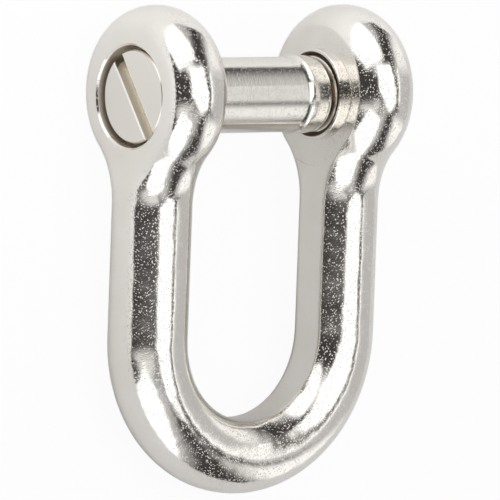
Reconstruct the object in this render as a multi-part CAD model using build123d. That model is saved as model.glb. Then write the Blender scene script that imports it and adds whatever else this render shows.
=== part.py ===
from build123d import *
from math import asin, degrees, hypot, sqrt
import os

# Polished stainless D shackle with a sunk, slotted screw pin. All sizes in millimetres.
# The pieces are drawn flat: X runs along the pin from its head to its thread, Y runs along
# the legs towards the pin, and Z is the thickness. The origin is the middle of the pin's
# axis between the two ears. The finished pieces are then tilted about X into the pose in
# which the shackle lies on a table, on the rims of both ears and the end of the bow.

# Bow: the one-piece body, a round bar with an ear at each end
BAR_DIA = 8.0               # bar of the legs and the bend
BAR_EDGE_R = 3.9            # rounding of the bar's section, almost a full round
JAW_W = 17.3                # between the flat inner faces
JAW_SKIM = 0.35             # how far the inner flats cut into the round of the bar
JAW_EDGE_R = 1.2            # softened edge along the inner flats
LEG_LEN = 24.4              # pin axis to the centre of the bend
EAR_R = 8.85                # outer radius of each ear
EAR_OFFSET = 0.3            # the ear's round is centred this far beyond the pin axis
NECK_R = 6.7                # hollow rounding between an ear and its leg
FACE_DROP = 0.55            # the outer face of each ear lies this far inside the legs' crown
FACE_START = 6.0            # pin axis to the foot of the soft step up to the leg's crown
FACE_STEP = 4.5             # length of that step
FACE_BLEND_R = 2.0          # softened edge round the outer face
SPOT_R = 7.4                # round patch milled flat on each ear's inner face
SPOT_DEPTH = 0.08

# Head-side ear: recess for the pin's head and clear hole for its body
RECESS_GAP = 0.45           # radial, round the pin's head
RECESS_DEPTH = 3.05         # below the outer face of the ear
RECESS_EDGE = 0.2           # chamfer at the mouth of the recess
HOLE_CLEARANCE = 0.05       # radial, round the pin's body
HOLE_EDGE = 0.4             # chamfer of the clear hole in the inner face

# Thread-side ear: low turned boss round the tapped hole, which is drawn at the outer
# radius of its thread
THREAD_CLEARANCE = 0.05     # radial
BOSS_WALL = 0.73            # from the tapped hole to the boss's side
BOSS_H = 0.6                # above the flat of the ear
BOSS_EDGE = 0.08            # chamfer round the boss
MOUTH_EDGE = 0.4            # countersink of the tapped hole in the boss
EXIT_EDGE = 0.5             # chamfer at the outer face

# Pin
BODY_R = 4.1                # in the head-side ear, and at the collar
WAIST_DEPTH = 0.27          # the fine-turned waist between the ears is this much slimmer
WAIST_START = 0.3           # the waist starts this far inside the head-side ear
WAIST_BLEND = 0.75          # length of the hollow rounding at each end of the waist
COLLAR_LEN = 2.0            # polished collar between the waist and the thread
COLLAR_TAPER = 0.13         # how much slimmer the collar gets towards the thread
COLLAR_EDGE = 0.05
COLLAR_GAP = 0.85           # from the collar's end to the boss
THREAD_DROP = 0.2           # from the body down to the outer radius of the thread
HEAD_LEDGE = 0.6            # how far the head stands out round the body
HEAD_H = 2.5
HEAD_EDGE = 0.15
SLOT_W = 1.45
SLOT_DEPTH = 1.3
SLOT_ANGLE = 36.0           # turn of the slot from the direction of the legs
TIP_INSET = 0.2             # the tip lies this far inside the outer face
TIP_EDGE = 0.9

# Sizes that follow from those above
JAW_X = JAW_W / 2
BAR_R = BAR_DIA / 2
LEG_X = JAW_X - JAW_SKIM + BAR_R        # centre line of each leg
CROWN_X = LEG_X + BAR_R                 # outermost plane of the legs and ears
BOW_REACH = LEG_LEN + LEG_X + EAR_OFFSET    # ear's centre to the bar's at the bow's end
LIE_TILT = degrees(asin((EAR_R - BAR_R) / BOW_REACH))
FACE_X = CROWN_X - FACE_DROP            # outer face of each ear
SEAT_X = FACE_X - RECESS_DEPTH          # distance of the head's seat from the middle
WAIST_R = BODY_R - WAIST_DEPTH
THREAD_R = BODY_R - THREAD_DROP
HEAD_R = BODY_R + HEAD_LEDGE
RECESS_R = HEAD_R + RECESS_GAP
BOSS_R = THREAD_R + THREAD_CLEARANCE + BOSS_WALL
CUT_OVER = 2.0                          # how far a cutter runs past the surface
NEAR = 0.001                            # two places this close are the same


def keyhole():
    """Outline of an ear and its leg, seen along the pin, as a closed face on the YZ plane."""
    ear = Vector(EAR_OFFSET, 0)
    neck_reach = EAR_R + NECK_R
    neck_z = BAR_R + NECK_R
    neck = ear + Vector(-sqrt(neck_reach**2 - neck_z**2), neck_z)
    touch = ear + (neck - ear) * (EAR_R / neck_reach)
    foot = Vector(neck.X, BAR_R)
    middle = neck + ((foot + touch) / 2 - neck).normalized() * NECK_R
    half = [
        Line((-LEG_LEN, BAR_R), foot),
        ThreePointArc(foot, middle, touch),
        ThreePointArc(touch, ear + Vector(0, EAR_R), ear + Vector(EAR_R, 0)),
    ]
    other = [mirror(line, Plane.XZ) for line in half]
    outline = Curve() + half + other + Line((-LEG_LEN, BAR_R), (-LEG_LEN, -BAR_R))
    return Plane.YZ * make_face(outline.edges())


def ear_and_leg():
    """The thread-side ear and leg, rounded all over, still without their flat and hole."""
    plate = extrude(Pos(LEG_X - BAR_R, 0, 0) * keyhole(), BAR_DIA)
    rims = [
        edge
        for edge in plate.edges()
        if edge.bounding_box().size.X < BAR_R and edge.center().Y > -LEG_LEN
    ]
    blank = fillet(rims, BAR_EDGE_R) - outer_side()
    around_face = [
        edge
        for edge in blank.edges()
        if all(abs((edge @ share).X - FACE_X) < NEAR for share in (0, 0.5, 1))
        and edge.bounding_box().size.Y > NEAR
    ]
    return fillet(around_face, FACE_BLEND_R)


def outer_side():
    """What is taken off outside an ear: a flat, with a soft step up to the crown of its leg."""
    outside = CROWN_X + CUT_OVER
    top = EAR_OFFSET + EAR_R + CUT_OVER
    halfway = ((CROWN_X + FACE_X) / 2, -FACE_START - FACE_STEP / 2)
    step_end = (CROWN_X, -FACE_START - FACE_STEP)
    outline = [
        Line((FACE_X, top), (FACE_X, -FACE_START)),
        TangentArc((FACE_X, -FACE_START), halfway, tangent=(0, -1)),
        TangentArc(step_end, halfway, tangent=(0, 1)),
        Polyline(step_end, (outside, step_end[1]), (outside, top), (FACE_X, top)),
    ]
    return extrude(make_face(outline), EAR_R + CUT_OVER, both=True)


def bend():
    """Half turn of the bar that joins the legs."""
    across = Plane(origin=(LEG_X, -LEG_LEN, 0), x_dir=(1, 0, 0), z_dir=(0, 1, 0))
    section = across * RectangleRounded(BAR_DIA, BAR_DIA, BAR_EDGE_R)
    return revolve(section, Axis((0, -LEG_LEN, 0), (0, 0, -1)), 180)


def jaw_space():
    """The straight-sided space between the legs, whose walls are the inner flats."""
    top = EAR_OFFSET + EAR_R + CUT_OVER
    walls = Pos(0, (top - LEG_LEN) / 2) * Rectangle(JAW_W, top + LEG_LEN)
    outline = walls + Pos(0, -LEG_LEN) * Circle(JAW_X)
    return extrude(outline, EAR_R + CUT_OVER, both=True)


def jaw_edges(body):
    """Edges in which the walls of the jaw meet the round of the bar and the ears."""
    found = []
    for edge in body.edges():
        points = [edge @ share for share in (0, 0.5, 1)]
        reach = [hypot(point.X, min(point.Y + LEG_LEN, 0)) for point in points]
        on_wall = all(abs(distance - JAW_X) < NEAR for distance in reach)
        if on_wall and edge.bounding_box().size.Y > NEAR:
            found.append(edge)
    return found


def spot_faces():
    """Cutter along the pin for the round patch milled on each ear's inner face."""
    return Rot(Y=90) * Cylinder(SPOT_R, JAW_W + 2 * SPOT_DEPTH)


def boss():
    """Low round boss on the thread-side ear, sunk a little into the ear to join it."""
    face_x = JAW_X - BOSS_H
    return along_pin(
        (face_x, 0),
        (face_x, BOSS_R - BOSS_EDGE),
        (face_x + BOSS_EDGE, BOSS_R),
        (JAW_X + CUT_OVER, BOSS_R),
        (JAW_X + CUT_OVER, 0),
    )


def along_pin(*profile):
    """Solid turned about the pin axis from the points (x, radius) of its outline."""
    return revolve(make_face(Polyline(*profile, close=True)), Axis.X, 360)


def head_side_cut():
    """Recess and clear hole of the head-side ear."""
    hole_r = BODY_R + HOLE_CLEARANCE
    outside = -FACE_X - CUT_OVER
    inside = -JAW_X + CUT_OVER
    return along_pin(
        (outside, 0),
        (outside, RECESS_R + RECESS_EDGE + CUT_OVER),
        (-FACE_X + RECESS_EDGE, RECESS_R),
        (-SEAT_X, RECESS_R),
        (-SEAT_X, hole_r),
        (-JAW_X - HOLE_EDGE, hole_r),
        (inside, hole_r + HOLE_EDGE + CUT_OVER),
        (inside, 0),
    )


def thread_side_cut():
    """Tapped hole of the thread-side ear."""
    hole_r = THREAD_R + THREAD_CLEARANCE
    mouth_x = JAW_X - BOSS_H
    return along_pin(
        (mouth_x - CUT_OVER, 0),
        (mouth_x - CUT_OVER, hole_r + MOUTH_EDGE + CUT_OVER),
        (mouth_x + MOUTH_EDGE, hole_r),
        (FACE_X - EXIT_EDGE, hole_r),
        (FACE_X + CUT_OVER, hole_r + EXIT_EDGE + CUT_OVER),
        (FACE_X + CUT_OVER, 0),
    )


def bow():
    leg = ear_and_leg()
    body = leg + mirror(leg, Plane.YZ) + bend()
    body = body - jaw_space()
    body = fillet(jaw_edges(body), JAW_EDGE_R)
    body = body - spot_faces() + boss()
    return body - head_side_cut() - thread_side_cut()


def pin():
    head_top = -SEAT_X - HEAD_H
    waist_from = -JAW_X - WAIST_START
    collar_to = JAW_X - BOSS_H - COLLAR_GAP
    collar_from = collar_to - COLLAR_LEN
    tip = FACE_X - TIP_INSET
    narrow = ((waist_from + WAIST_BLEND, WAIST_R), (collar_from - WAIST_BLEND, WAIST_R))
    outline = [
        Polyline(
            (waist_from, BODY_R),
            (-SEAT_X, BODY_R),
            (-SEAT_X, HEAD_R),
            (head_top + HEAD_EDGE, HEAD_R),
            (head_top, HEAD_R - HEAD_EDGE),
            (head_top, 0),
            (tip, 0),
            (tip, THREAD_R - TIP_EDGE),
            (tip - TIP_EDGE, THREAD_R),
            (collar_to, THREAD_R),
            (collar_to, BODY_R - COLLAR_TAPER - COLLAR_EDGE),
            (collar_to - COLLAR_EDGE, BODY_R - COLLAR_TAPER),
            (collar_from, BODY_R),
        ),
        TangentArc(narrow[0], (waist_from, BODY_R), tangent=(-1, 0)),
        TangentArc(narrow[1], (collar_from, BODY_R), tangent=(1, 0)),
        Line(*narrow),
    ]
    blank = revolve(make_face(outline), Axis.X, 360)
    slot = Pos(head_top, 0, 0) * Rot(X=-SLOT_ANGLE) * Box(2 * SLOT_DEPTH, 3 * HEAD_R, SLOT_W)
    return blank - slot


def lie_down(shape):
    """Turn the bow's end down until the shackle rests on a table."""
    return shape.rotate(Axis.X, LIE_TILT)


os.makedirs("parts", exist_ok=True)
for name, shape in (("bow", bow()), ("pin", pin())):
    shape = lie_down(shape)
    shape.label = name
    export_step(shape, f"parts/{name}.step")
    print(name, round(shape.volume, 1), "mm3", shape.bounding_box())
print("tilt", round(LIE_TILT, 3), "legs at", LEG_X, "crown at", CROWN_X)
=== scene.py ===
import math

import bmesh
import bpy
import numpy as np
from mathutils import Matrix, Vector


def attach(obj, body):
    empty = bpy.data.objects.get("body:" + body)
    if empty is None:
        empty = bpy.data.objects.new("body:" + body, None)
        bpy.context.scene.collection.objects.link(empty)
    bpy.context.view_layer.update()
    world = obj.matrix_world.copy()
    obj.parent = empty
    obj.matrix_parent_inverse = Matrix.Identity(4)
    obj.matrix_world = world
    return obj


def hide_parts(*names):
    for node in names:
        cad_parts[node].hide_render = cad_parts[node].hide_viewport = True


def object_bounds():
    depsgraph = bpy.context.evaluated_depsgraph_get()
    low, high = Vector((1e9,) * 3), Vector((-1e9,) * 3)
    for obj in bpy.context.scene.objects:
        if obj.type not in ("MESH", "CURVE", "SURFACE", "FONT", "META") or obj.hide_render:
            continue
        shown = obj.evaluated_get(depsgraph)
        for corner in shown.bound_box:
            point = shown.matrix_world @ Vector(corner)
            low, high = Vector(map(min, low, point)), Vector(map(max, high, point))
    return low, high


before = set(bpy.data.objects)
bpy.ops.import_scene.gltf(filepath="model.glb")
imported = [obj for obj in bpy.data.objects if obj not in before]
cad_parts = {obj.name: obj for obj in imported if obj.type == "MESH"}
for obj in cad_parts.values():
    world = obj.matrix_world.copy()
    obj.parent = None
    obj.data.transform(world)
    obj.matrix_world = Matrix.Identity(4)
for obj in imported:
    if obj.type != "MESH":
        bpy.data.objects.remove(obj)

# Looks of a polished stainless D shackle. Sizes named here are in millimetres, in the frame
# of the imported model: X along the pin, Z up, origin in the middle of the pin's axis.
MM = 0.001
cad_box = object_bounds()

# Pin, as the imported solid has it
PIN_TIP_X = 15.55
PIN_HEAD_X = -15.2
SEAT_X = -12.7
HEAD_R = 4.7
HEAD_EDGE = 0.15
BODY_R = 4.1
WAIST_R = 3.83
WAIST_FROM_X = -8.95
WAIST_BLEND = 0.75          # length of the hollow rounding at each end of the waist
COLLAR_FROM_X = 5.2
COLLAR_TO_X = 7.2
COLLAR_TAPER = 0.13         # how much slimmer the collar gets towards the thread
COLLAR_EDGE = 0.05
THREAD_R = 3.9
TIP_EDGE = 0.9
SLOT_W = 1.45
SLOT_DEPTH = 1.3
SLOT_ANGLE = 36.0           # from the direction of the legs
LIE_TILT = 7.532            # the legs' slope on the table
SLOT_TURN = Matrix.Rotation(math.radians(LIE_TILT - SLOT_ANGLE), 4, "X")
SLOT_ACROSS = SLOT_TURN.to_3x3() @ Vector((0, 0, 1))    # direction across the slot

# Ears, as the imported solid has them
RECESS_R = 5.15
BOSS_FACE_X = 8.05
TAPPED_R = 3.95
MOUTH_EDGE = 0.4            # countersink of the tapped hole
EAR_FACE_X = 15.75
EXIT_EDGE = 0.5

# Thread, cut into the plain end of the solid
PITCH = 0.8
THREAD_DEPTH = 0.45
CREST = 0.125               # share of the pitch that the flat crest takes
FLANK = 0.31                # share of it that each flank takes
RUN_IN = 0.25               # the groove reaches its depth over this length
THREAD_GAP = 0.04           # between the pin's thread and the one inside the hole
SLEEVE_R = 4.2              # the inside thread is sunk this far into the ear

# Meshes
TURN_STEPS = 120            # steps round the pin
PITCH_STEPS = 12            # rows in one pitch of the thread
BLEND_POINTS = 10           # points of each hollow rounding
SLOT_EDGE = 0.13            # worn edge of the slot
SLOT_EDGE_STEPS = 2
PIN_CRISP_ANGLE = 20.0      # edges of the pin that turn more than this stay crisp
BOW_CRISP_ANGLE = 34.0      # the same for the bow
SAME_PLACE = 0.0005         # corners that round to one place on this grid share a normal
SAME_POINT = 0.0001         # vertices closer than this are merged
ON_EDGE = 0.001             # an end of a slot's edge is found within this distance
TINY = 1e-12                # keeps a division off zero

# Surface: the height of each kind of mark, and how many of it there are along a millimetre
PEEL_MM = 0.004             # grain of the polish
PEEL_PER_MM = 7.0
PIT_MM = 0.020              # fine pits scattered over it
PITS_PER_MM = 4.6
PIT_R = 0.08                # radius of a pit at the surface
PIT_FLOOR = 0.1             # share of the radius that its flat floor has
CROWDS_PER_MM = 0.8         # places where the pits are deeper and seem to crowd
CROWD_SHIFT = (7.3, 1.9, 4.1)
CROWD_NOISE = (0.30, 0.60)  # from the noise's value between crowds to the one inside them
CROWD_DEPTH = (0.45, 1.0)   # share of a pit's depth there
SWELL_MM = 0.045            # slow waves of the forged bar
SWELLS_PER_MM = 0.45
RINGS_MM = 0.010            # lathe rings
RINGS_PER_MM = 5.0          # along the shank
CIRCLES_PER_MM = 6.0        # across the head
RING_DRIFT = 0.03           # how much a ring changes on its way round
SHANK_GRAIN = 0.6           # share of the bow's grain that the turned shank has
TURNED_SPREAD = 0.5         # anisotropy of the turned finish

# Finish of the bow
CLOUDS_PER_MM = 0.35        # slow changes of the polish
CLOUD_NOISE = (0.3, 0.7)
BOW_ROUGH = (0.09, 0.14)
TONES_PER_MM = 0.22         # slow changes of the colour
TONE_NOISE = (0.35, 0.75)
BOW_PALE = (0.825, 0.805, 0.765, 1)
BOW_WARM = (0.795, 0.765, 0.715, 1)
RECESS_TINT = (0.86, 0.79, 0.69, 1)
# dark brown painted shade on the wall of the tapped hole and on the thread sunk in it
TAPPED_SHADE_TINT = (0.32, 0.26, 0.20, 1)
BORED_ROUGH = 0.5
WALL_REACH = 0.02           # the look of a bored wall reaches this far past the wall

# Finish of the pin
SHANK_ROUGH = 0.15
HEAD_ROUGH = 0.21
COLLAR_ROUGH = 0.12
COLLAR_POLISH = 0.35        # the collar's polish reaches this far onto the hollow rounding
PIN_TINT = (0.79, 0.765, 0.715, 1)
# warm grey painted shade on the floor of the slot
SLOT_SHADE_TINT = (0.68, 0.625, 0.545, 1)
SLOT_SHADE_H = 0.05          # the painted shade stands this high on the slot's floor
SLOT_SHADE_MARGIN = 0.1      # and stays this far off the head's seat and its rim
# painted shade at the bottom of the thread's groove
THREAD_SHADE_TINT = (0.25, 0.20, 0.15, 1)
THREAD_SHADE_DEPTH = (0.02, 0.25)   # from clean steel to full painted shade, below the crests
THREAD_SHADE_START = 0.02    # distance from the collar
THREAD_SHADE_END = 0.03      # distance from the tip's face
# nearly white on the slot's long edges: wear and a painted highlight
WORN_AND_HIGHLIGHT_TINT = (1.0, 1.0, 0.99, 1)
WORN_HIGHLIGHT_DEPTH = 0.2            # the slot's worn edges, with their painted highlight, reach this far below the head's face

# Camera
CAMERA_BACK = Vector((-0.63728, -0.01123, 0.77055))
CAMERA_UP = Vector((0.02980, 0.99879, 0.03921))
CAMERA_PLACE = Vector((-355.919, -21.975, 429.065))
FOCAL_PX = 5499.7
IMAGE_PX = 500
SENSOR_MM = 36.0
CLIP_NEAR = 0.01            # metres
CLIP_FAR = 10               # metres

# Floor and studio light
WHITE = (1, 1, 1, 1)
FLOOR_HALF = 2.0            # metres
FLOOR_PAINT = (0.84, 0.84, 0.84, 1)
FLOOR_GLOW = 0.94           # share of the floor's plain white that the camera sees unshadowed
FLOOR_PAINTED_LIGHT = 0.30           # painted light: glow that the floor gives off beyond the shackle, in place of light from behind
FLOOR_BEHIND = (-0.35, 0.94, 0)    # direction in which the floor lies beyond the shackle
LIFT_FROM = -40             # the painted light starts here in that direction
LIFT_TO = 50                # and is full here
SKY_BELOW = 0.9             # light from below the horizon
HORIZON_SOFT = 0.01
SKY_DARK = (0.056, 0.051, 0.050, 1)
# Softboxes in the sky map: brightness, soft edge, corners going round anticlockwise
SOFTBOXES = (
    # overhead
    (1.50, 0.03, ((-0.30, 0.35), (-0.29, -0.07), (-0.18, -0.15), (-0.02, -0.29),
                  (0.14, -0.35), (0.36, -0.28), (0.385, -0.10), (0.27, 0.35))),
    (0.75, 0.08, ((-0.42, 0.22), (-0.15, 0.20), (0.05, 0.50), (-0.40, 0.42))),
    # upper left, and the dim wall to its right
    (1.50, 0.06, ((-0.63, 0.28), (0.09, 0.46), (0.09, 1.30), (-1.30, 1.30), (-1.00, 0.65))),
    (0.50, 0.14, ((0.00, 0.42), (0.20, 0.52), (0.36, 0.80), (0.55, 0.92), (0.55, 1.30),
                  (0.00, 1.30))),
    # lower left, and its soft right side
    (1.50, 0.06, ((-0.60, -0.27), (-0.80, -0.52), (-1.30, -1.30), (-0.05, -1.30),
                  (-0.10, -0.47))),
    (0.52, 0.12, ((-0.25, -0.28), (-0.30, -1.30), (0.00, -1.30), (0.10, -0.30))),
    # right: a dim wall, with the bright strip and its soft side that edge the legs
    (0.53, 0.03, ((0.44, 0.25), (0.45, -0.27), (1.30, -0.60), (1.30, 0.50))),
    (0.64, 0.08, ((0.94, 0.50), (0.94, -0.50), (1.30, -0.60), (1.30, 0.50))),
    (1.30, 0.02, ((0.445, 0.24), (0.455, -0.22), (0.53, -0.24), (0.53, 0.26))),
    (0.80, 0.06, ((0.49, 0.24), (0.49, -0.24), (0.58, -0.26), (0.58, 0.26))),
    # upper right and lower right
    (1.05, 0.14, ((0.44, 0.20), (1.30, 0.10), (1.30, 0.70), (0.56, 0.59))),
    (1.15, 0.12, ((0.38, -0.38), (0.47, -0.72), (1.30, -0.88), (1.30, -0.30))),
    # far left
    (0.80, 0.08, ((-0.95, -0.20), (-0.70, -0.40), (-0.30, -0.38), (-0.15, -0.22),
                  (-0.60, -0.18))),
)


def clamp(value, low=0.0, high=1.0):
    """The value, or the limit that it passes."""
    return min(max(value, low), high)


def mesh_values(items, name, width=1, kind=float):
    """One value for each item of a mesh, or a row of them, as an array."""
    values = np.empty(len(items) * width, kind)
    items.foreach_get(name, values)
    return values.reshape(-1, width) if width > 1 else values


def corner_normals(mesh, limit_deg):
    """Normal at each corner, averaged over the faces that meet there within the angle."""
    loops = mesh_values(mesh.loops, "vertex_index", kind=int)
    normal = mesh_values(mesh.polygons, "normal", 3)
    area = mesh_values(mesh.polygons, "area")
    sides = mesh_values(mesh.polygons, "loop_total", kind=int)
    face = np.repeat(np.arange(len(area)), sides)
    # corners in one place get the same number, also where the mesh is split
    grid = mesh_values(mesh.vertices, "co", 3) / (SAME_PLACE * MM)
    _, spot = np.unique(np.round(grid).astype(np.int64), axis=0, return_inverse=True)
    spot = spot.ravel()[loops]
    order = np.argsort(spot, kind="stable")
    starts = np.searchsorted(spot[order], np.arange(spot.max() + 2))
    least = math.cos(math.radians(limit_deg))
    result = np.zeros((len(loops), 3))
    for first, last in zip(starts[:-1], starts[1:]):
        here = order[first:last]
        around = normal[face[here]]
        near = around @ around.T > least
        result[here] = near @ (around * area[face[here]][:, None])
    return result / np.maximum(np.linalg.norm(result, axis=1), TINY)[:, None]


def shade_round(obj, limit_deg):
    """Smooth shading across the joints between tangent faces, with crisp edges kept."""
    mesh = obj.data
    mesh.polygons.foreach_set("use_smooth", [True] * len(mesh.polygons))
    mesh.normals_split_custom_set(corner_normals(mesh, limit_deg).tolist())


class Nodes:
    """Short way to write a node tree: each call adds a node and returns its output."""

    # the mix node has sockets of its own for each type of data: A, B and the result
    MIX_SOCKETS = {"FLOAT": (2, 3, 0), "VECTOR": (4, 5, 1), "RGBA": (6, 7, 2)}

    def __init__(self, tree):
        self.tree = tree
        tree.nodes.clear()

    def add(self, kind, inputs=None, out=0, **settings):
        node = self.tree.nodes.new(kind)
        for key, value in settings.items():
            setattr(node, key, value)
        for key, value in (inputs or {}).items():
            if isinstance(value, bpy.types.NodeSocket):
                self.tree.links.new(value, node.inputs[key])
            else:
                node.inputs[key].default_value = value
        return node.outputs[out] if node.outputs else None

    def coords(self, kind):
        """Object coordinates in a material, Generated ones, the direction, in a world."""
        return self.add("ShaderNodeTexCoord", out=kind)

    def seen(self):
        """1 for what the camera sees itself, 0 for light and reflections."""
        return self.add("ShaderNodeLightPath", out="Is Camera Ray")

    def math(self, operation, a, b=0.0):
        return self.add("ShaderNodeMath", {0: a, 1: b}, operation=operation)

    def times(self, a, b):
        return self.math("MULTIPLY", a, b)

    def vector(self, operation, a, b, out="Vector"):
        return self.add("ShaderNodeVectorMath", {0: a, 1: b}, out=out, operation=operation)

    def dot(self, a, b):
        return self.vector("DOT_PRODUCT", a, b, out="Value")

    def separate(self, vector):
        return tuple(self.add("ShaderNodeSeparateXYZ", {0: vector}).node.outputs)

    def combine(self, x=0.0, y=0.0, z=0.0):
        return self.add("ShaderNodeCombineXYZ", {0: x, 1: y, 2: z})

    def ramp(self, value, low, high, to_low=0.0, to_high=1.0):
        inputs = {"Value": value, "From Min": low, "From Max": high,
                  "To Min": to_low, "To Max": to_high}
        return self.add("ShaderNodeMapRange", inputs, interpolation_type="SMOOTHSTEP")

    def above(self, value, edge, fade):
        """1 from the edge up. It fades to 0 below the edge."""
        return self.ramp(value, edge - fade, edge)

    def below(self, value, edge, fade):
        """1 up to the edge. It fades to 0 above the edge."""
        return self.ramp(value, edge + fade, edge)

    def noise(self, vector, scale, detail, roughness=0.5):
        inputs = {"Vector": vector, "Scale": scale, "Detail": detail, "Roughness": roughness}
        return self.add("ShaderNodeTexNoise", inputs)

    def mix(self, data_type, factor, a, b):
        into_a, into_b, result = self.MIX_SOCKETS[data_type]
        inputs = {0: factor, into_a: a, into_b: b}
        return self.add("ShaderNodeMix", inputs, out=result, data_type=data_type)

    def bump(self, height):
        """Normal of a surface with this height in millimetres."""
        return self.add("ShaderNodeBump", {"Height": height, "Strength": 1.0, "Distance": MM})


def new_material(name):
    material = bpy.data.materials.new(name)
    material.use_nodes = True
    return material, Nodes(material.node_tree)


def finish_metal(n, **sockets):
    """Closes a material with a metal shader. Keys are socket names with _ for a space."""
    inputs = {key.replace("_", " "): value for key, value in sockets.items()}
    shader = n.add("ShaderNodeBsdfPrincipled", {"Metallic": 1.0, **inputs})
    n.add("ShaderNodeOutputMaterial", {"Surface": shader})


def pin_space(n):
    """Object coordinates in millimetres, with x along the pin, as one vector and as its three
    parts, and the distance from the pin's axis."""
    place = n.vector("MULTIPLY", n.coords("Object"), (1 / MM, 1 / MM, 1 / MM))
    x, y, z = n.separate(place)
    radius = n.math("SQRT", n.math("ADD", n.times(y, y), n.times(z, z)))
    return place, (x, y, z), radius


def peel(n, place):
    """Height of the polish's grain: faint waves, with fine pits that crowd in some places."""
    fine = n.noise(place, PEEL_PER_MM, detail=1.0)
    seeds = n.add("ShaderNodeTexVoronoi", {"Vector": place, "Scale": PITS_PER_MM})
    pits = n.below(seeds, PIT_FLOOR * PIT_R * PITS_PER_MM,
                   fade=(1 - PIT_FLOOR) * PIT_R * PITS_PER_MM)
    crowd = n.noise(n.vector("ADD", place, CROWD_SHIFT), CROWDS_PER_MM, detail=2.0)
    pits = n.times(n.times(pits, n.ramp(crowd, *CROWD_NOISE, *CROWD_DEPTH)), PIT_MM)
    return n.math("SUBTRACT", n.times(fine, PEEL_MM), pits)


def polished_steel():
    """Electropolished bar: bright, with the fine ripple of polished forgings."""
    material, n = new_material("polished_steel")
    place, (x, _, _), radius = pin_space(n)
    swell = n.noise(place, SWELLS_PER_MM, detail=1.0)
    bump = n.bump(n.math("ADD", peel(n, place), n.times(swell, SWELL_MM)))
    rough = n.ramp(n.noise(place, CLOUDS_PER_MM, detail=3.0), *CLOUD_NOISE, *BOW_ROUGH)
    tone = n.ramp(n.noise(place, TONES_PER_MM, detail=4.0), *TONE_NOISE)
    tint = n.mix("RGBA", tone, BOW_PALE, BOW_WARM)
    # the turned walls of the recess and of the tapped hole are duller; the recess's wall holds
    # some dirt, and the tapped hole's wall is darkened with painted shade
    recess = n.times(n.below(x, SEAT_X, fade=0.1),
                     n.below(radius, RECESS_R + WALL_REACH, fade=0.02))
    tapped = n.times(n.above(x, BOSS_FACE_X - WALL_REACH, fade=0.02),
                     n.below(radius, TAPPED_R + MOUTH_EDGE, fade=0.04))
    tint = n.mix("RGBA", recess, tint, RECESS_TINT)
    tint = n.mix("RGBA", tapped, tint, TAPPED_SHADE_TINT)
    rough = n.mix("FLOAT", n.math("MAXIMUM", recess, tapped), rough, BORED_ROUGH)
    finish_metal(n, Base_Color=tint, Roughness=rough, Normal=bump)
    return material


def slot_floor(n, x, radius):
    """1 on the floor of the slot."""
    deep = n.times(n.above(x, PIN_HEAD_X + SLOT_DEPTH - SLOT_SHADE_H, fade=0.1),
                   n.below(x, SEAT_X - SLOT_SHADE_MARGIN, fade=0.1))
    return n.times(deep, n.below(radius, HEAD_R - SLOT_SHADE_MARGIN, fade=0.08))


def slot_rims(n, place, x):
    """1 on the slot's long edges."""
    beside = n.math("ABSOLUTE", n.dot(place, tuple(SLOT_ACROSS)))
    rims = n.times(n.above(beside, SLOT_W / 2, fade=0.01),
                   n.below(beside, SLOT_W / 2 + SLOT_EDGE, fade=0.01))
    return n.times(rims, n.below(x, PIN_HEAD_X + WORN_HIGHLIGHT_DEPTH, fade=0.1))


def thread_groove(n, x, radius):
    """1 at the bottom of the thread's groove, 0 on its crests."""
    crest = n.math("MINIMUM", THREAD_R, n.math("SUBTRACT", THREAD_R - TIP_EDGE + PIN_TIP_X, x))
    groove = n.ramp(n.math("SUBTRACT", crest, radius), *THREAD_SHADE_DEPTH)
    groove = n.times(groove, n.above(x, COLLAR_TO_X + THREAD_SHADE_START, fade=0.04))
    return n.times(groove, n.below(x, PIN_TIP_X - THREAD_SHADE_END, fade=0.02))


def turned_steel():
    """Fine turned pin: rings along the shank, circles on the head, a brighter collar."""
    material, n = new_material("turned_steel")
    place, (x, y, z), radius = pin_space(n)
    along = n.combine(x, n.times(y, RING_DRIFT), n.times(z, RING_DRIFT))
    rings = n.noise(along, RINGS_PER_MM, detail=4.0, roughness=0.75)
    circles = n.noise(n.combine(radius), CIRCLES_PER_MM, detail=4.0, roughness=0.75)
    on_head = n.below(x, PIN_HEAD_X + HEAD_EDGE, fade=0.1)
    collar = n.times(n.above(x, COLLAR_FROM_X - COLLAR_POLISH, fade=0.2),
                     n.below(x, COLLAR_TO_X, fade=0.05))
    turned = n.mix("FLOAT", on_head, rings, circles)
    plain = n.math("SUBTRACT", 1.0, collar)
    shank = n.times(n.math("SUBTRACT", 1.0, on_head), SHANK_GRAIN)
    grain = n.times(peel(n, place), n.math("MAXIMUM", collar, shank))
    bump = n.bump(n.math("ADD", grain, n.times(n.times(turned, plain), RINGS_MM)))
    rough = n.mix("FLOAT", on_head, SHANK_ROUGH, HEAD_ROUGH)
    rough = n.mix("FLOAT", collar, rough, COLLAR_ROUGH)
    # turned marks spread the light across the rings: along the shank, and outward on the head
    across = n.mix("VECTOR", on_head, (1, 0, 0), n.combine(y=y, z=z))
    spread = n.times(plain, TURNED_SPREAD)
    # painted shade darkens the slot's floor and the thread's groove, and the slot's long edges
    # are worn and carry a painted highlight
    tint = n.mix("RGBA", slot_floor(n, x, radius), PIN_TINT, SLOT_SHADE_TINT)
    tint = n.mix("RGBA", thread_groove(n, x, radius), tint, THREAD_SHADE_TINT)
    tint = n.mix("RGBA", slot_rims(n, place, x), tint, WORN_AND_HIGHLIGHT_TINT)
    finish_metal(n, Base_Color=tint, Roughness=rough, Normal=bump, Anisotropic=spread,
                 Tangent=across)
    return material


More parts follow.
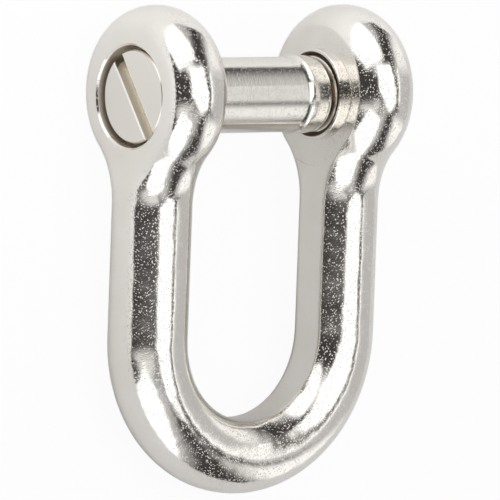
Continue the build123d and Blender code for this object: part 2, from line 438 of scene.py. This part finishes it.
def lathe_profile():
    """Points (x, radius) of the pin from the middle of its head to the start of the thread."""
    drop = BODY_R - WAIST_R
    arc_r = (WAIST_BLEND**2 + drop**2) / (2 * drop)
    runs = np.linspace(0, WAIST_BLEND, BLEND_POINTS)
    hollow = [(run, WAIST_R + arc_r - math.sqrt(arc_r**2 - run**2)) for run in runs]
    points = [
        (PIN_HEAD_X, 0.0), (PIN_HEAD_X, HEAD_R - HEAD_EDGE), (PIN_HEAD_X + HEAD_EDGE, HEAD_R),
        (SEAT_X, HEAD_R), (SEAT_X, BODY_R),
    ]
    points += [(WAIST_FROM_X + WAIST_BLEND - run, radius) for run, radius in reversed(hollow)]
    points += [(COLLAR_FROM_X - WAIST_BLEND + run, radius) for run, radius in hollow]
    points += [
        (COLLAR_TO_X - COLLAR_EDGE, BODY_R - COLLAR_TAPER),
        (COLLAR_TO_X, BODY_R - COLLAR_TAPER - COLLAR_EDGE), (COLLAR_TO_X, THREAD_R),
    ]
    return points


def thread_radius(x, phase):
    """Radius of the threaded end at x, where phase is the place within one pitch, 0 to 1."""
    into = clamp((min(phase, 1 + CREST - phase) - CREST) / FLANK)
    radius = THREAD_R - THREAD_DEPTH * into * clamp((x - COLLAR_TO_X) / RUN_IN)
    return min(radius, THREAD_R - TIP_EDGE + (PIN_TIP_X - x))


def pin_rows():
    """Rows of (x, radius) round the pin, and how many of them are plain circles. Along the
    thread the rows follow the helix."""
    rows = [[point] * TURN_STEPS for point in lathe_profile()[1:]]
    plain = len(rows)
    turns = math.ceil((PIN_TIP_X - COLLAR_TO_X) / PITCH) + 1
    for index in range(-PITCH_STEPS, turns * PITCH_STEPS):
        row = []
        for step in range(TURN_STEPS):
            x = COLLAR_TO_X + PITCH * (index / PITCH_STEPS + step / TURN_STEPS)
            x = clamp(x, COLLAR_TO_X, PIN_TIP_X)
            row.append((x, thread_radius(x, index / PITCH_STEPS % 1)))
        rows.append(row)
    return rows, plain


def new_mesh(name, shape):
    """New mesh of the bmesh, which is freed."""
    mesh = bpy.data.meshes.new(name)
    shape.to_mesh(mesh)
    shape.free()
    return mesh


def pin_blank(grow=0.0):
    """The pin before its slot is cut, grown all round, as one closed mesh."""
    rows, plain = pin_rows()
    shape = bmesh.new()
    grid = []
    for row in rows:
        ring = []
        for step, (x, radius) in enumerate(row):
            angle = 2 * math.pi * step / TURN_STEPS
            radius += grow
            place = Vector((x, radius * math.cos(angle), radius * math.sin(angle)))
            ring.append(shape.verts.new(place * MM))
        grid.append(ring)

    def corner(row, step):
        # past a full turn the helix has moved on by one pitch
        if step == TURN_STEPS:
            step = 0
            if row >= plain:
                row = min(row + PITCH_STEPS, len(grid) - 1)
        return grid[row][step]

    for row in range(len(grid) - 1):
        for step in range(TURN_STEPS):
            if row >= plain and step == TURN_STEPS - 1 and row + 1 + PITCH_STEPS >= len(grid):
                continue
            shape.faces.new((corner(row, step), corner(row, step + 1),
                             corner(row + 1, step + 1), corner(row + 1, step)))
    shape.faces.new(grid[0])
    bmesh.ops.remove_doubles(shape, verts=shape.verts, dist=SAME_POINT * MM)
    bmesh.ops.dissolve_degenerate(shape, edges=shape.edges, dist=SAME_POINT * MM)
    open_edges = [edge for edge in shape.edges if len(edge.link_faces) == 1]
    bmesh.ops.holes_fill(shape, edges=open_edges)
    bmesh.ops.recalc_face_normals(shape, faces=shape.faces)
    return new_mesh("pin_blank", shape)


def applied(obj):
    """The object's mesh with its modifiers applied. The modifiers are then removed."""
    graph = bpy.context.evaluated_depsgraph_get()
    mesh = bpy.data.meshes.new_from_object(obj.evaluated_get(graph))
    obj.modifiers.clear()
    obj.data = mesh
    return mesh


def merge_close(mesh):
    """Merges the mesh's vertices that lie on each other, and drops the faces that collapse."""
    shape = bmesh.new()
    shape.from_mesh(mesh)
    bmesh.ops.remove_doubles(shape, verts=shape.verts, dist=SAME_POINT * MM)
    shape.to_mesh(mesh)
    shape.free()


def in_scene(name, data):
    """New object of the mesh or the camera."""
    obj = bpy.data.objects.new(name, data)
    bpy.context.scene.collection.objects.link(obj)
    return obj


def cut_away(obj, cutter_mesh):
    """Takes the cutter's solid out of the object, and gives the mesh that is left."""
    cutter = in_scene("cutter", cutter_mesh)
    cut = obj.modifiers.new("cut", "BOOLEAN")
    cut.object = cutter
    cut.operation = "DIFFERENCE"
    cut.solver = "EXACT"
    mesh = applied(obj)
    bpy.data.objects.remove(cutter)
    return mesh


def slot_cutter():
    """Box in the middle of the head's face, so that half of it cuts to the slot's depth."""
    box = bmesh.new()
    size = Matrix.Diagonal((2 * SLOT_DEPTH, 3 * HEAD_R, SLOT_W, 1))
    head = Matrix.Translation((PIN_HEAD_X * MM, 0, 0))
    bmesh.ops.create_cube(box, size=MM, matrix=head @ SLOT_TURN @ size)
    return new_mesh("slot", box)


def wear_slot_edges(pin):
    """A small chamfer on the slot's long edges."""
    mesh = pin.data
    weight = mesh.attributes.new("bevel_weight_edge", "FLOAT", "EDGE")
    for edge in mesh.edges:
        ends = [mesh.vertices[i].co / MM for i in edge.vertices]
        on_top = all(abs(end.x - PIN_HEAD_X) < ON_EDGE for end in ends)
        on_wall = all(abs(abs(end.dot(SLOT_ACROSS)) - SLOT_W / 2) < ON_EDGE for end in ends)
        weight.data[edge.index].value = 1.0 if on_top and on_wall else 0.0
    bevel = pin.modifiers.new("slot_edges", "BEVEL")
    bevel.limit_method = "WEIGHT"
    bevel.width = SLOT_EDGE * MM
    bevel.segments = SLOT_EDGE_STEPS
    merge_close(applied(pin))


def make_pin():
    """The screw pin with its slot and thread, in place of the plain solid."""
    pin = in_scene("screw_pin", pin_blank())
    cut_away(pin, slot_cutter())
    wear_slot_edges(pin)
    shade_round(pin, PIN_CRISP_ANGLE)
    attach(pin, "pin")
    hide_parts("pin")
    return pin


def make_tapped_thread():
    """The thread inside the tapped hole, as a sleeve sunk in the wall of the hole."""
    start = BOSS_FACE_X + MOUTH_EDGE
    end = EAR_FACE_X - EXIT_EDGE
    middle = Matrix.Translation(((start + end) / 2 * MM, 0, 0))
    along_pin = Matrix.Rotation(math.pi / 2, 4, "Y")
    rod = bmesh.new()
    bmesh.ops.create_cone(rod, cap_ends=True, segments=TURN_STEPS, radius1=SLEEVE_R * MM,
                          radius2=SLEEVE_R * MM, depth=(end - start) * MM,
                          matrix=middle @ along_pin)
    sleeve = in_scene("tapped_thread", new_mesh("tapped_thread", rod))
    cut_away(sleeve, pin_blank(THREAD_GAP))
    shade_round(sleeve, PIN_CRISP_ANGLE)
    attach(sleeve, "bow")
    return sleeve


def make_floor():
    """Plain white floor, with painted light that grows beyond the shackle. It shows white to the
    camera, and keeps a soft shadow.
    """
    low = cad_box[0][2]
    corners = [(x * FLOOR_HALF, y * FLOOR_HALF, low) for x, y in
               ((-1, -1), (1, -1), (1, 1), (-1, 1))]
    mesh = bpy.data.meshes.new("floor")
    mesh.from_pydata(corners, [], [(0, 1, 2, 3)])
    floor = in_scene("floor", mesh)
    material, n = new_material("floor_white")
    paint = n.add("ShaderNodeBsdfDiffuse", {"Color": FLOOR_PAINT})
    # painted light: the floor glows more beyond the shackle, in place of light from behind
    behind = n.dot(n.coords("Object"), FLOOR_BEHIND)
    strength = n.times(n.ramp(behind, LIFT_FROM * MM, LIFT_TO * MM), FLOOR_PAINTED_LIGHT)
    painted_light = n.add("ShaderNodeEmission", {"Color": WHITE, "Strength": strength})
    lit = n.add("ShaderNodeAddShader", {0: paint, 1: painted_light})
    glow = n.add("ShaderNodeEmission", {"Color": WHITE, "Strength": 1.0})
    mixed = n.add("ShaderNodeMixShader", {0: n.times(n.seen(), FLOOR_GLOW), 1: lit, 2: glow})
    n.add("ShaderNodeOutputMaterial", {"Surface": mixed})
    mesh.materials.append(material)


def softbox_cover(n, place, corners, soft):
    """1 inside the convex outline of a softbox in the sky map, 0 outside it."""
    cover = None
    for (ax, ay), (bx, by) in zip(corners, corners[1:] + corners[:1]):
        length = math.hypot(bx - ax, by - ay)
        inward = ((ay - by) / length, (bx - ax) / length, 0)
        offset = inward[0] * ax + inward[1] * ay
        edge = n.ramp(n.dot(place, inward), offset - soft, offset + soft)
        cover = n.times(cover, edge) if cover else edge
    return cover


def make_world():
    """Studio of big softboxes overhead and around, with dark between them. A place in the sky
    map is (x, y) / sqrt(1 + z) of an upward direction: its middle is overhead, its rim level."""
    world = bpy.data.worlds.new("studio")
    bpy.context.scene.world = world
    world.use_nodes = True
    n = Nodes(world.node_tree)
    x, y, z = n.separate(n.coords("Generated"))
    shrink = n.math("SQRT", n.math("ADD", n.math("ABSOLUTE", z), 1.0))
    place = n.combine(n.math("DIVIDE", x, shrink), n.math("DIVIDE", y, shrink))
    light = 0.0
    for level, soft, corners in SOFTBOXES:
        box = n.times(softbox_cover(n, place, corners, soft), level)
        light = n.math("MAXIMUM", light, box)
    light = n.mix("FLOAT", n.ramp(z, -HORIZON_SOFT, HORIZON_SOFT), SKY_BELOW, light)
    boxes = n.add("ShaderNodeBackground", {"Color": WHITE, "Strength": light})
    dark = n.add("ShaderNodeBackground", {"Color": SKY_DARK, "Strength": 1.0})
    studio = n.add("ShaderNodeAddShader", {0: boxes, 1: dark})
    white = n.add("ShaderNodeBackground", {"Color": WHITE, "Strength": 1.0})
    mixed = n.add("ShaderNodeMixShader", {0: n.seen(), 1: studio, 2: white})
    n.add("ShaderNodeOutputWorld", {"Surface": mixed})


def make_camera():
    """Camera at the photo's place, with its direction and its focal length."""
    camera = in_scene("camera", bpy.data.cameras.new("camera"))
    back = CAMERA_BACK.normalized()
    right = CAMERA_UP.cross(back).normalized()
    turn = Matrix((right, back.cross(right), back)).transposed()
    camera.matrix_world = Matrix.Translation(CAMERA_PLACE * MM) @ turn.to_4x4()
    camera.data.sensor_width = SENSOR_MM
    camera.data.lens = FOCAL_PX / IMAGE_PX * SENSOR_MM
    camera.data.clip_start = CLIP_NEAR
    camera.data.clip_end = CLIP_FAR
    bpy.context.scene.camera = camera


def dress_bow(steel):
    """Smooth shading and the steel for the bow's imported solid, which keeps its shape."""
    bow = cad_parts["bow"]
    shade_round(bow, BOW_CRISP_ANGLE)
    bow.data.materials.clear()
    bow.data.materials.append(steel)


bow_steel = polished_steel()
dress_bow(bow_steel)
make_tapped_thread().data.materials.append(bow_steel)
make_pin().data.materials.append(turned_steel())
make_floor()
make_world()
make_camera()
bpy.context.scene.view_settings.view_transform = "Standard"
